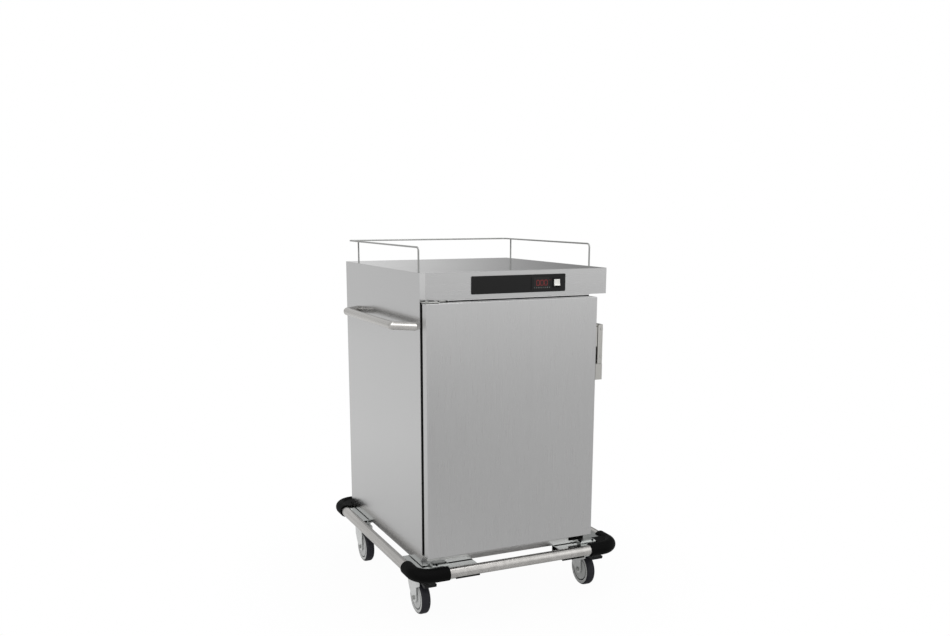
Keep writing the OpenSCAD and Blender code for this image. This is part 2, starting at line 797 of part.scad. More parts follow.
// a hinge arm: a wide part with a round nose over the pivot, and a tail with two screws
module hinge_arm(z) {
  nose_r = 9;
  color(steel_light) placed() difference() {
    union() {
      translate([0, -arm_depth, z]) linear_extrude(height = arm_t) round_rect(arm_w, arm_depth, nose_r);
      block([0, arm_w + arm_tail], [-tail_depth, 0], [z, z + arm_t]);
    }
    rod_z(pivot_x, pivot_y, [z - 1, z + arm_t + 1], pin_d / 2 + run_clear);
    for (x = hinge_screw_x) rod_y(x, [-tail_depth - 1, 1], z + arm_t / 2, screw_r + run_clear);
  }
}

module hinge_arm_top() {
  hinge_arm(hinge_top_z);
}

module hinge_arm_bottom() {
  hinge_arm(hinge_bot_z);
}

module hinge_pins() {
  head_r = pin_d / 2 + 2.5;
  top_z = hinge_top_z + arm_t;
  color(steel_dark) placed() {
    rod_z(pivot_x, pivot_y, [door_z1 - pin_depth + 1, top_z + 2], pin_d / 2);
    rod_z(pivot_x, pivot_y, [top_z + slip, top_z + 2.5], head_r);
    rod_z(pivot_x, pivot_y, [hinge_bot_z - 2, door_z0 + pin_depth - 1], pin_d / 2);
    rod_z(pivot_x, pivot_y, [hinge_bot_z - 2.5, hinge_bot_z - slip], head_r);
  }
}

module hinge_screws() {
  color("#3a3a3a") placed()
    for (z = [hinge_top_z + arm_t / 2, hinge_bot_z + arm_t / 2], x = hinge_screw_x) {
      rod_y(x, [-tail_depth - 0.1, hinge_screw_len], z, screw_r);
      rod_y(x, [-tail_depth - 2.6, -tail_depth - 0.1], z, screw_head_r);
    }
}

// ---- latch ----

latch_z1 = top_h - latch_drop;
latch_z0 = latch_z1 - latch_h;
lever_z0 = latch_z1 - lever_h;
latch_x1 = door_w + latch_w;
lever_pin_x = latch_x1 - 6;
lever_pin_y = door_y0 + lever_t / 2;
lever_swing_r = norm([5, lever_t / 2]) + 0.6;
latch_pin_r = 2.5;
knuckle_z = [lever_z0 + 22, latch_z1 - 20];
strike_h = 70;
strike_t = 3;
strike_leg = 42;

module latch_base() {
  magnet_face = -slip;
  seat_y = door_y0 + lever_t + slip;
  strike_z = (latch_z0 + lever_z0 + 60) / 2;
  color(steel) placed() difference() {
    union() {
      difference() {
        union() {
          block([door_w, latch_x1], [seat_y, door_y1], [latch_z0, latch_z1]);
          block([door_w, latch_x1], [door_y0, seat_y + eps], [latch_z0, lever_z0 - 1]);
          block([door_w, door_w + 5], [door_y0 + 2, seat_y + eps], [lever_z0 + 62, latch_z1 - 9]);
          block([door_w + 4, latch_x1], [door_y1 - eps, magnet_face], [strike_z - 30, strike_z + 30]);
        }
        // finger recess beside and behind the lever, and room for the lever to turn
        block([door_w - 1, door_w + latch_w * 0.62], [seat_y - 1, seat_y + 12],
              [lever_z0 + 1, lever_z0 + 60]);
        rod_z(lever_pin_x, lever_pin_y, [lever_z0 - 0.5, latch_z1 + 1], lever_swing_r);
      }
      for (z = knuckle_z)
        block([lever_pin_x - 4, latch_x1], [door_y0 + 1, lever_pin_y + lever_swing_r + 1], [z, z + 8]);
    }
    rod_z(lever_pin_x, lever_pin_y, [lever_z0, latch_z1 + 1], latch_pin_r + run_clear);
  }
}

module latch_handle() {
  x0 = latch_x1 - lever_w - 1;
  color(steel_light) placed() difference() {
    translate([0, door_y0 + lever_t, 0]) rotate([90, 0, 0]) linear_extrude(height = lever_t)
      polygon([[x0, lever_z0], [latch_x1 - 1, lever_z0], [latch_x1 - 1, latch_z1],
               [x0 + 5, latch_z1], [x0, latch_z1 - 7]]);
    for (z = knuckle_z)
      block([lever_pin_x - 5.5, latch_x1 + 1], [door_y0 - 1, door_y0 + lever_t + 1],
            [z - slip, z + 8 + slip]);
    rod_z(lever_pin_x, lever_pin_y, [lever_z0 - 1, latch_z1 + 1], latch_pin_r + run_clear);
  }
}

module latch_pin() {
  color(steel_dark) placed()
    rod_z(lever_pin_x, lever_pin_y, [lever_z0 + 4, latch_z1 - 1], latch_pin_r);
}

module latch_strike() {
  strike_z = (latch_z0 + lever_z0 + 60) / 2;
  strike_zz = [strike_z - strike_h / 2, strike_z + strike_h / 2];
  color(steel) placed() {
    block([body_w, body_w + strike_t], [strike_t, strike_leg], strike_zz);
    block([body_w, max(body_w + strike_t, latch_x1)], [0, strike_t], strike_zz);
  }
}

// ---- bumper frame ----

module bumper_tubes() {
  x = [tx0 + bumper_bend + 6, tx1 - bumper_bend - 6];
  y = [ty0 + bumper_bend + 6, ty1 - bumper_bend - 6];
  inner = tube_r - tube_wall;
  color(steel_light) placed() {
    for (yy = [ty0, ty1]) difference() {
      rod_x(x, yy, tube_h, tube_r);
      rod_x([x[0] - 1, x[1] + 1], yy, tube_h, inner);
    }
    for (xx = [tx0, tx1]) difference() {
      rod_y(xx, y, tube_h, tube_r);
      rod_y(xx, [y[0] - 1, y[1] + 1], tube_h, inner);
    }
  }
}

// the solid outline of one corner bumper, with its corner at the origin and arms along +X, +Y
module elbow(r) {
  translate([bumper_bend, 0, 0]) mirror([1, 0, 0]) bend(bumper_bend, r);
  rod_x([bumper_bend, bumper_arm], 0, 0, r);
  rod_y(0, [bumper_bend, bumper_arm], 0, r);
}

module corner_bumper() {
  s = bumper_bend + 6 - slip;
  difference() {
    elbow(bumper_r);
    rod_x([s, bumper_arm + 1], 0, 0, tube_r + run_clear);
    rod_y(0, [s, bumper_arm + 1], 0, tube_r + run_clear);
  }
}

// puts a child drawn for the front-left corner on all four corners
module at_corners() {
  for (mx = [0, 1], my = [0, 1])
    translate([mx == 0 ? tx0 : tx1, my == 0 ? ty0 : ty1, 0])
      mirror([mx, 0, 0]) mirror([0, my, 0]) children();
}

module corner_bumpers() {
  color(black) placed() at_corners() translate([0, 0, tube_h]) corner_bumper();
}

// one corner bracket, from the tubes' crossing point: a lower plate under the tubes, webs inside
// the body's outline and an upper strip that carries the base pan. side is the strip's length
// along the side tube, and sw the place of the castor's swivel axis.
module bracket(side, body_x, body_y, sw) {
  web_x = body_x + 14;
  web_y = body_y + 14;
  out = 4;
  corner_r = bumper_bend + out;
  pad_x = max(sw[0] + 62, bumper_bend + corner_r + 1);
  pad_y = sw[1] + 62;
  len = bracket_len;
  difference() {
    union() {
      translate([0, 0, plate_bot_z]) linear_extrude(height = bracket_t) union() {
        translate([bumper_bend, bumper_bend]) circle(r = corner_r);
        translate([bumper_bend, -out]) square([pad_x - bumper_bend, pad_y + out]);
        translate([-out, bumper_bend]) square([pad_x + out, pad_y - bumper_bend]);
        translate([bumper_bend, -out]) square([len - bumper_bend, web_y + bracket_t + out]);
      }
      block([0, len], [0, web_y + bracket_t], [strip_z0, strip_z1]);
      block([0, web_x + bracket_t], [0, side], [strip_z0, strip_z1]);
      block([web_x, len], [web_y, web_y + bracket_t], [plate_bot_z, strip_z1]);
      block([web_x, web_x + bracket_t], [web_y, min(side, pad_y)], [plate_bot_z, strip_z1]);
    }
    // room for the bumper and the tubes
    translate([0, 0, tube_h]) elbow(bumper_r + slip);
    rod_x([0, len + 5], 0, tube_h, tube_r + run_clear);
    rod_y(0, [0, side + pad_y], tube_h, tube_r + run_clear);
    block([-50, len + 5], [-50, tube_r / 2], [plate_top_z + 1, strip_z1 + 1]);
    block([-50, tube_r / 2], [-50, side + 5], [plate_top_z + 1, strip_z1 + 1]);
    translate([bumper_bend, bumper_bend, strip_z0 - 1]) rotate([0, 0, 180])
      rotate_extrude(angle = 90) translate([bumper_bend, 0]) square([40, bracket_t + 2]);
    // jig hole beside the body's corner
    rod_z(body_x + 46, body_y - 7, [strip_z0 - 1, strip_z1 + 1], bracket_hole_d / 2);
  }
}

module corner_brackets() {
  front_side = 190;
  back_side = 300;
  color(steel_dark) placed() {
    translate([tx0, ty0, 0])
      bracket(front_side, tube_out_l, tube_out_f, [sxf[0] - tx0, sy0 - ty0]);
    translate([tx1, ty0, 0]) mirror([1, 0, 0])
      bracket(front_side, tx1 - body_w, tube_out_f, [tx1 - sxf[1], sy0 - ty0]);
    translate([tx0, ty1, 0]) mirror([0, 1, 0])
      bracket(back_side, tube_out_l, tube_out_b, [sxr[0] - tx0, ty1 - sy1]);
    translate([tx1, ty1, 0]) mirror([1, 0, 0]) mirror([0, 1, 0])
      bracket(back_side, tx1 - body_w, tube_out_b, [tx1 - sxr[1], ty1 - sy1]);
  }
}

// ---- castors: drawn about their swivel axis, with the wheel towards the front ----

module castor_plates() {
  z = plate_bot_z;
  color(steel_dark) placed() for (s = swivels) translate([s[0], s[1], 0]) {
    translate([-top_plate[0] / 2, -top_plate[1] / 2, z - top_plate[2]])
      linear_extrude(height = top_plate[2]) round_rect(top_plate[0], top_plate[1], 6);
    rod_z(0, 0, [crown_top + slip, z - top_plate[2] + eps], race_r);
    rod_z(0, 0, [crown_bot - 3, crown_top + 1], king_r);
    rod_z(0, 0, [crown_bot - 3, crown_bot - slip], king_r + 4);
  }
}

// one leg of a fork; a braked fork's leg has an ear towards the front
module fork_leg(x, braked) {
  top = crown_bot + crown_t;
  knee = wheel_r + 41.5;
  front = -trail - leg_r;
  translate([x, 0, 0]) rotate([90, 0, 90]) linear_extrude(height = fork_t) difference() {
    union() {
      translate([-trail, wheel_r]) circle(r = leg_r);
      polygon([[24, top], [20, knee], [6, wheel_r + 18.5], [-3, wheel_r + 7.5],
               [-trail + 10.4, wheel_r - 13.3], [front + 0.1, wheel_r], [front, knee], [front, top]]);
      if (braked)
        polygon([[front + 1, knee], [front, knee], [front - 31, knee + 16], [front - 31, knee + 29],
                 [front, top], [front + 1, top]]);
    }
    translate([-trail, wheel_r]) circle(r = axle_r + run_clear);
    translate([pedal_y, pedal_z]) circle(r = pedal_rod_r + run_clear);
  }
}

module castor_fork(i) {
  s = swivels[i];
  side = fork_gap + fork_t;
  color(steel_light) placed() translate([s[0], s[1], 0]) difference() {
    union() {
      rod_z(0, 0, [crown_bot, crown_top], race_r);
      rod_z(0, 0, [crown_bot, crown_bot + crown_t], crown_r);
      block([-side, side], [-trail - leg_r, 24], [crown_bot, crown_bot + crown_t]);
      fork_leg(fork_gap, i < 2);
      fork_leg(-side, i < 2);
    }
    rod_z(0, 0, [crown_bot - 5, crown_top + 5], king_r + run_clear);
  }
}

module castor_fork_fl() { castor_fork(0); }
module castor_fork_fr() { castor_fork(1); }
module castor_fork_rl() { castor_fork(2); }
module castor_fork_rr() { castor_fork(3); }

// puts a child drawn about the Z axis on the axle of castor i
module on_axle(i) {
  s = swivels[i];
  translate([s[0], s[1] - trail, wheel_r]) rotate([0, 90, 0]) children();
}

module wheel_centre(i) {
  core_r = wheel_r - tyre_t - run_clear;
  face = tyre_w / 2 - 1.5;
  hub_half = fork_gap - slip;
  groove = [core_r * 0.74, core_r * 0.81];
  color(plastic_grey) placed() on_axle(i) rotate_extrude()
    polygon([[axle_r + run_clear, -hub_half], [13, -hub_half], [13, -face], [groove[0], -face],
             [groove[0], -face + 5], [groove[1], -face + 5], [groove[1], -face], [core_r, -face],
             [core_r, face], [groove[1], face], [groove[1], face - 5], [groove[0], face - 5],
             [groove[0], face], [13, face], [13, hub_half], [axle_r + run_clear, hub_half]]);
}

module wheel_centre_fl() { wheel_centre(0); }
module wheel_centre_fr() { wheel_centre(1); }
module wheel_centre_rl() { wheel_centre(2); }
module wheel_centre_rr() { wheel_centre(3); }

// the tyre's section: a cap with round shoulders over the wheel centre's rim
module wheel_tyre(i) {
  r0 = wheel_r - tyre_t;
  c = 10.5;
  half = tyre_w / 2;
  color(tyre_grey) placed() on_axle(i) rotate_extrude() intersection() {
    translate([r0, -half]) square([tyre_t + 1, tyre_w]);
    union() {
      translate([r0 - 20, -half + c]) square([tyre_t + 20, tyre_w - 2 * c]);
      for (s = [-1, 1]) translate([wheel_r - c, s * (half - c)]) circle(r = c);
    }
  }
}

module wheel_tyre_fl() { wheel_tyre(0); }
module wheel_tyre_fr() { wheel_tyre(1); }
module wheel_tyre_rl() { wheel_tyre(2); }
module wheel_tyre_rr() { wheel_tyre(3); }

module axle_bolt(i) {
  out = fork_gap + fork_t + 0.1;
  color(steel_dark) placed() on_axle(i) {
    rod_z(0, 0, [-out - 1, out + 6], axle_r);
    translate([0, 0, -out - 5]) cylinder(r = 8.5, h = 5, $fn = 6);
    translate([0, 0, out]) cylinder(r = 8.5, h = 5, $fn = 6);
  }
}

module axle_bolt_fl() { axle_bolt(0); }
module axle_bolt_fr() { axle_bolt(1); }
module axle_bolt_rl() { axle_bolt(2); }
module axle_bolt_rr() { axle_bolt(3); }

// a brake pedal on a rod through the fork's legs, with its pad in front of the wheel
module brake_pedal(i) {
  s = swivels[i];
  arm_half = 12;
  color(black) placed() translate([s[0], s[1], 0]) {
    rod_x([-fork_gap - fork_t - 1, fork_gap + fork_t + 1], pedal_y, pedal_z, pedal_rod_r);
    block([-arm_half, arm_half], [-pedal_reach + pad_d / 2, pedal_y + 4], [pedal_z - 2.5, pedal_z + 2.5]);
    block([-arm_half, arm_half], [-trail - 13, -trail + 1], [wheel_d + 2, pedal_z]);
    translate([-pedal_w / 2, 0, 0]) rotate([90, 0, 90]) linear_extrude(height = pedal_w)
      polygon([[-pedal_reach, pedal_z - 3], [-pedal_reach + 4, pedal_z - 8],
               [-pedal_reach + pad_d - 2, pedal_z - 2.5], [-pedal_reach + pad_d, pedal_z + 2.5],
               [-pedal_reach, pedal_z + 4]]);
  }
}

module brake_pedal_fl() { brake_pedal(0); }
module brake_pedal_fr() { brake_pedal(1); }

side_panel_left();
side_panel_right();
back_panel();
base_pan();
front_frame();
inner_liner();
insulation();
top_deck();
hood_shell();
hood_floor();
control_plate();
display_window();
controller_body();
rocker_bezel();
rocker_switch();
fan_motor();
fan_impeller();
heater_element();
air_baffle();
water_pan();
rack_left();
rack_right();
gallery_rail();
push_handle();
door_outer();
door_inner();
door_insulation();
door_gasket();
hinge_bushes();
hinge_arm_top();
hinge_arm_bottom();
hinge_pins();
hinge_screws();
latch_base();
latch_handle();
latch_pin();
latch_strike();
bumper_tubes();
corner_bumpers();
corner_brackets();
castor_plates();
castor_fork_fl();
castor_fork_fr();
castor_fork_rl();
castor_fork_rr();
wheel_centre_fl();
wheel_centre_fr();
wheel_centre_rl();
wheel_centre_rr();
wheel_tyre_fl();
wheel_tyre_fr();
wheel_tyre_rl();
wheel_tyre_rr();
axle_bolt_fl();
axle_bolt_fr();
axle_bolt_rl();
axle_bolt_rr();
brake_pedal_fl();
brake_pedal_fr();
power_inlet();
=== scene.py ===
import math

import bmesh
import bpy
from mathutils import Matrix, Vector


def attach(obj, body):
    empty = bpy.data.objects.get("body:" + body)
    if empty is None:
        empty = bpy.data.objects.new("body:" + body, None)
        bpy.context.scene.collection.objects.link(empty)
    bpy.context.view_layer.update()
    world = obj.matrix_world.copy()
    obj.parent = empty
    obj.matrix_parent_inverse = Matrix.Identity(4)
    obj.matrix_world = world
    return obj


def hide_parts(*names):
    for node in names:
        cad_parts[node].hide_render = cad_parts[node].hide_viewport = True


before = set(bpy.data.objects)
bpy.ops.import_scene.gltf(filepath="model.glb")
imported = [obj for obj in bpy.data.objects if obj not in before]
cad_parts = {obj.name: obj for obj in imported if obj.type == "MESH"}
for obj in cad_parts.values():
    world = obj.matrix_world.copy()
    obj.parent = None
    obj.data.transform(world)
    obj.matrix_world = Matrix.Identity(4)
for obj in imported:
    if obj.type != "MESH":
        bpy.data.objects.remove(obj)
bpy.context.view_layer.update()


# Camera: an eye-level product shot from the front left, with the lens axis a little
# below the middle of the picture, so that the cabinet's upright edges lean only slightly.
# Places on the trolley are given in millimetres from the cabinet's lower left front corner.
CABINET_CORNER = Vector((-354.75, -409.0, 0))


def at(x, y, z):
    return (Vector((x, y, z)) + CABINET_CORNER) / 1000


camera_data = bpy.data.cameras.new("camera")
camera_data.sensor_width = 36
camera_data.lens = 36.55
camera_data.shift_x = 0.0098
camera_data.shift_y = 0.0969
camera_data.clip_end = 60
camera = bpy.data.objects.new("camera", camera_data)
camera.location = at(-1174.4, -2963.3, 1427.6)
TILT_DOWN, TURN_RIGHT = 11.81, 24.35
camera.rotation_euler = (math.radians(90 - TILT_DOWN), 0, math.radians(-TURN_RIGHT))
bpy.context.scene.collection.objects.link(camera)
bpy.context.scene.camera = camera


# Studio: a pale floor, large soft lamps and a surround that is white in front. Behind the
# trolley it falls off from light on the left to dark on the right, as the sheet steel shades
# off there.
def add_node(tree, kind, inputs=None, **settings):
    node = tree.nodes.new("ShaderNode" + kind)
    for name, value in settings.items():
        setattr(node, name, value)
    for socket, value in (inputs or {}).items():
        if isinstance(value, bpy.types.NodeSocket):
            tree.links.new(value, node.inputs[socket])
        else:
            node.inputs[socket].default_value = value
    return node


bpy.context.scene.view_settings.view_transform = "Standard"
surround = bpy.data.worlds.new("surround")
surround.use_nodes = True
surround.node_tree.nodes.clear()
bpy.context.scene.world = surround
sky = surround.node_tree
direction = add_node(sky, "TexCoord").outputs["Generated"]
parts = add_node(sky, "SeparateXYZ", {0: direction})
left_to_right = add_node(sky, "MapRange", {0: parts.outputs["X"], 1: -1, 2: 1})
behind = add_node(sky, "ValToRGB", {0: left_to_right.outputs[0]})
behind.color_ramp.interpolation = "EASE"
stops = behind.color_ramp.elements
for place, grey in ((0, 0.63), (0.35, 0.75), (0.64, 0.78), (0.77, 0.25), (1, 0.4)):
    stop = stops[-place] if place in (0, 1) else stops.new(place)
    stop.color = (grey, grey, grey, 1)
in_front = add_node(sky, "MapRange", {0: parts.outputs["Y"], 1: 0.3, 2: -0.3})
level = add_node(
    sky,
    "Mix",
    {0: in_front.outputs[0], 6: behind.outputs[0], 7: (1, 1, 1, 1)},
    data_type="RGBA",
)
soft = add_node(sky, "Background", {"Color": level.outputs[2], "Strength": 1})
white = add_node(sky, "Background", {"Color": (1, 1, 1, 1), "Strength": 1})
seen = add_node(sky, "LightPath").outputs["Is Camera Ray"]
mixed = add_node(sky, "MixShader", {0: seen, 1: soft.outputs[0], 2: white.outputs[0]})
add_node(sky, "OutputWorld", {0: mixed.outputs[0]})

# the floor: white to the camera, with a faint painted shade round the trolley through which a
# trace of its real shadow shows; to other rays it partly glows, more at the back left and a
# little at the right, which the steel's reflections show
bpy.ops.object.select_all(action="DESELECT")
bpy.ops.mesh.primitive_plane_add(size=16, location=(0, 0, -0.0005))
floor = bpy.context.object
floor.name = "floor"
floor_paint = bpy.data.materials.new("floor_paint")
floor_paint.use_nodes = True
tree = floor_paint.node_tree
tree.nodes.clear()
matt = add_node(tree, "BsdfDiffuse", {"Color": (0.55, 0.55, 0.55, 1)})
glow = add_node(tree, "Emission", {"Color": (1, 1, 1, 1), "Strength": 1})
eye = add_node(tree, "LightPath").outputs["Is Camera Ray"]
spot = add_node(tree, "TexCoord").outputs["Object"]
reach = add_node(tree, "VectorMath", {0: spot}, operation="LENGTH")
# within half a metre of the middle the glow is cut to 97 %, full again at a metre: painted shade
# round the trolley
painted_shade_fade = add_node(tree, "MapRange", {0: reach.outputs["Value"], 1: 0.5, 2: 1.0, 3: 0.97, 4: 1})
across = add_node(tree, "VectorMath", {0: spot, 1: (-0.7, 0.7, 0)}, operation="DOT_PRODUCT")
back_left = add_node(
    tree, "MapRange", {0: across.outputs["Value"], 1: -1.6, 2: 2.4, 3: 0.0, 4: 0.66}
)
to_right = add_node(tree, "VectorMath", {0: spot, 1: (1, 0, 0)}, operation="DOT_PRODUCT")
right = add_node(
    tree, "MapRange", {0: to_right.outputs["Value"], 1: 0.4, 2: 1.5, 3: 0.0, 4: 0.2}
)
sheen = add_node(
    tree, "Math", {0: back_left.outputs[0], 1: right.outputs[0]}, operation="ADD"
)
share = add_node(tree, "Mix", {0: eye, 2: sheen.outputs[0], 3: painted_shade_fade.outputs[0]})
floor_mix = add_node(
    tree, "MixShader", {0: share.outputs[0], 1: matt.outputs[0], 2: glow.outputs[0]}
)
add_node(tree, "OutputMaterial", {0: floor_mix.outputs[0]})
floor.data.materials.append(floor_paint)

for name, place, aim, size, power in (
    ("key_lamp", (-3.2, -1.6, 3.4), (0, 0, 0.6), 2.6, 40),
    ("fill_lamp", (3.0, -3.0, 2.6), (0, 0, 0.6), 2.6, 10),
    ("top_lamp", (0.2, -0.6, 3.8), (0, 0, 0.6), 2.0, 24),
):
    lamp_data = bpy.data.lights.new(name, "AREA")
    lamp_data.shape = "SQUARE"
    lamp_data.size = size
    lamp_data.energy = power
    lamp = bpy.data.objects.new(name, lamp_data)
    lamp.location = place
    lamp.rotation_euler = (Vector(aim) - Vector(place)).to_track_quat("-Z", "Y").to_euler()
    bpy.context.scene.collection.objects.link(lamp)


# Left side panel: one stainless sheet from the base to the deck, folded round the hood's
# front corner and turned in along its lower edge.
def block(name, x, y, z):
    low, high = at(x[0], y[0], z[0]), at(x[1], y[1], z[1])
    bpy.ops.object.select_all(action="DESELECT")
    bpy.ops.mesh.primitive_cube_add(size=1, location=(low + high) / 2)
    piece = bpy.context.object
    piece.name = name
    piece.scale = high - low
    bpy.ops.object.transform_apply(location=True, rotation=True, scale=True)
    return piece


def pick(piece, kind, test):
    """Selects the faces or edges of a piece that pass a test, and leaves it in edit mode."""
    bpy.ops.object.select_all(action="DESELECT")
    piece.select_set(True)
    bpy.context.view_layer.objects.active = piece
    bpy.ops.object.mode_set(mode="EDIT")
    bpy.ops.mesh.select_mode(type="FACE" if kind == "faces" else "EDGE")
    bpy.ops.mesh.select_all(action="DESELECT")
    work = bmesh.from_edit_mesh(piece.data)
    for element in getattr(work, kind):
        if test(element):
            element.select_set(True)
    work.select_flush_mode()
    bmesh.update_edit_mesh(piece.data)


def middle(element):
    """The middle of a face or edge, in cabinet millimetres."""
    points = [v.co for v in element.verts]
    centre = sum(points, Vector()) / len(points)
    return centre * 1000 - CABINET_CORNER


def modify(piece, kind, **settings):
    bpy.ops.object.select_all(action="DESELECT")
    piece.select_set(True)
    bpy.context.view_layer.objects.active = piece
    if bpy.context.mode != "OBJECT":
        bpy.ops.object.mode_set(mode="OBJECT")
    modifier = piece.modifiers.new("shape", kind)
    for name, value in settings.items():
        setattr(modifier, name, value)
    bpy.ops.object.modifier_apply(modifier="shape")


SMOOTH_BELOW = math.radians(35)


def rounded(piece, width, segments=3, angle=30):
    """Bevels the sharp edges by a width in millimetres and smooths the shading."""
    modify(
        piece,
        "BEVEL",
        width=width / 1000,
        segments=segments,
        limit_method="ANGLE",
        angle_limit=math.radians(angle),
        harden_normals=False,
    )
    bpy.ops.object.shade_smooth_by_angle(angle=SMOOTH_BELOW)


def settle(piece, body, slot_name, material, *nodes):
    """Gives a piece its shading, material and body, and hides the plain solids it stands for. The
    slot name is not used.
    """
    modify(piece, "WEIGHTED_NORMAL", keep_sharp=True, weight=80)
    piece.data.materials.clear()
    piece.data.materials.append(material)
    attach(piece, body)
    if nodes:
        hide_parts(*nodes)
    return piece


def linear(hex_colour):
    channels = [int(hex_colour[i : i + 2], 16) / 255 for i in (1, 3, 5)]
    return [c / 12.92 if c <= 0.04045 else ((c + 0.055) / 1.055) ** 2.4 for c in channels] + [1]


STREAK_MM = 22


def brushed(name, colour, rough, along, streak=0.05, grain_mm=3.0, bump=0.02):
    """Brushed stainless steel: fine grooves along one axis, drawn 2.5 to 4 mm wide instead
    of the real 0.2 mm so that they show, with faint 22 mm streaks from the sheet's rolling."""
    material = bpy.data.materials.new(name)
    material.use_nodes = True
    tree = material.node_tree
    tree.nodes.clear()
    place = add_node(tree, "TexCoord").outputs["Object"]
    stretch = {"x": (0.02, 1, 1), "y": (1, 0.02, 1), "z": (1, 1, 0.02)}[along]
    per_groove = [s * 1000 / grain_mm for s in stretch]
    fine = add_node(tree, "Mapping", {"Vector": place, "Scale": per_groove})
    grooves = add_node(tree, "TexNoise", {"Vector": fine.outputs[0], "Scale": 1, "Detail": 3})
    per_streak = [s * 1000 / STREAK_MM for s in stretch]
    wide = add_node(tree, "Mapping", {"Vector": place, "Scale": per_streak})
    streaks = add_node(tree, "TexNoise", {"Vector": wide.outputs[0], "Scale": 1, "Detail": 2})
    both = add_node(tree, "Math", {0: grooves.outputs[0], 1: streaks.outputs[0]}, operation="ADD")
    base = linear(colour)
    dark = [c * (1 - streak) for c in base[:3]] + [1]
    light = [min(1, c * (1 + streak)) for c in base[:3]] + [1]
    both_range = add_node(tree, "MapRange", {0: both.outputs[0], 1: 0.7, 2: 1.3, 3: 0, 4: 1})
    tint = add_node(tree, "ValToRGB", {0: both_range.outputs[0]})
    tint.color_ramp.elements[0].color = dark
    tint.color_ramp.elements[1].color = light
    gloss = add_node(
        tree,
        "MapRange",
        {0: grooves.outputs[0], 1: 0.3, 2: 0.7, 3: rough - 0.04, 4: rough + 0.04},
    )
    relief = add_node(
        tree, "Bump", {"Height": grooves.outputs[0], "Strength": bump, "Distance": 0.001}
    )
    steel = add_node(
        tree,
        "BsdfPrincipled",
        {
            "Base Color": tint.outputs[0],
            "Metallic": 1,
            "Roughness": gloss.outputs[0],
            "Normal": relief.outputs[0],
        },
    )
    add_node(tree, "OutputMaterial", {0: steel.outputs[0]})
    return material


# brushed upright and nearly mirror-smooth: the surround shows as soft upright bands
panel_steel = brushed("brushed_stainless_panel", "#c4c4c4", 0.2, "z", 0.006, 3.0, 0.002)
HOOD_WIDTH, BODY_DEPTH, SHEET = 720, 795, 1.2
BODY_FOOT, HOOD_FOOT, DECK_TOP = 204, 1129, 1220
TURNED_IN = 11
side_sheet = block("side_sheet_left", (0, 22), (0, BODY_DEPTH), (BODY_FOOT, DECK_TOP - SHEET))
pick(side_sheet, "faces", lambda f: f.normal.x > 0.5 or f.normal.y > 0.5 or f.normal.z > 0.5)
bpy.ops.mesh.delete(type="FACE")
bpy.ops.mesh.select_all(action="SELECT")
bpy.ops.mesh.bisect(plane_co=at(0, 0, HOOD_FOOT), plane_no=(0, 0, 1))
bpy.ops.mesh.select_all(action="SELECT")
bpy.ops.mesh.bisect(plane_co=at(TURNED_IN, 0, 0), plane_no=(1, 0, 0))
bpy.ops.object.mode_set(mode="OBJECT")
pick(
    side_sheet,
    "faces",
    lambda f: (f.normal.y < -0.5 and middle(f).z < HOOD_FOOT)
    or (f.normal.z < -0.5 and middle(f).x > TURNED_IN),
)
bpy.ops.mesh.delete(type="FACE")
bpy.ops.object.mode_set(mode="OBJECT")
rounded(side_sheet, 1.2, 4, 60)
modify(side_sheet, "SOLIDIFY", thickness=SHEET / 1000, offset=-1)
settle(side_sheet, "cabinet", "cabinet_steel", panel_steel, "side_panel_left")


# The rest of the insulated body: right side and back sheets, the pan underneath and the
# frame round the door opening, all folded from the same stainless sheet.
def softened(name, node, width=0.4, segments=2):
    """A copy of a plain solid with its triangles merged and its edges rounded."""
    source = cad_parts[node]
    bpy.ops.object.select_all(action="DESELECT")
    source.select_set(True)
    bpy.context.view_layer.objects.active = source
    piece = source.copy()
    piece.data = source.data.copy()
    piece.name = name
    piece.parent = None
    piece.matrix_world = Matrix.Identity(4)
    bpy.context.scene.collection.objects.link(piece)
    pick(piece, "edges", lambda e: True)
    bpy.ops.mesh.select_all(action="SELECT")
    bpy.ops.mesh.remove_doubles(threshold=0.000005)
    bpy.ops.mesh.dissolve_limited(angle_limit=math.radians(0.5))
    bpy.ops.object.mode_set(mode="OBJECT")
    if width:
        rounded(piece, width, segments, 40)
    else:
        bpy.ops.object.shade_smooth_by_angle(angle=SMOOTH_BELOW)
    return piece


# polished: a bright even band round the opening
frame_steel = brushed("polished_stainless_frame", "#d2d2d2", 0.3, "x", 0.006, 3.0, 0.001)
# as rolled: grey and dull, with a faint streak
dull_steel = brushed("plain_stainless", "#a9aaa8", 0.4, "y", 0.03)
for name, node, steel, slot_name in (
    ("side_sheet_right", "side_panel_right", panel_steel, "cabinet_steel"),
    ("back_sheet", "back_panel", panel_steel, "cabinet_steel"),
    ("base_tray", "base_pan", dull_steel, "deck_steel"),
    ("opening_frame", "front_frame", frame_steel, "cabinet_steel"),
):
    settle(softened(name, node), "cabinet", slot_name, steel, node)


# Top deck: the flat lid of the hood, a brushed stainless sheet with a small rolled edge,
# laid on the hood and the side sheets and welded along them.
# brushed across: a smooth gloss that mirrors the rail's posts
deck_steel = brushed("brushed_stainless_deck", "#c6c6c6", 0.17, "x", 0.015)
deck = block("deck_sheet", (0, HOOD_WIDTH), (0, BODY_DEPTH), (DECK_TOP - SHEET, DECK_TOP))
rounded(deck, 0.55, 3)
settle(deck, "cabinet", "deck_steel", deck_steel, "top_deck")


# Hood: folded stainless sheet round the controls, fan motor and wiring, with vent slots
# and the mains inlet in its back, closed underneath by a floor sheet.
# brushed across: an even satin grey with faint level lines
hood_steel = brushed("brushed_stainless_hood", "#bdbdbd", 0.3, "x", 0.012, 3.0, 0.006)
settle(softened("hood_sheet", "hood_shell"), "cabinet", "cabinet_steel", hood_steel, "hood_shell")
hood_floor = softened("hood_floor_sheet", "hood_floor")
settle(hood_floor, "cabinet", "deck_steel", dull_steel, "hood_floor")


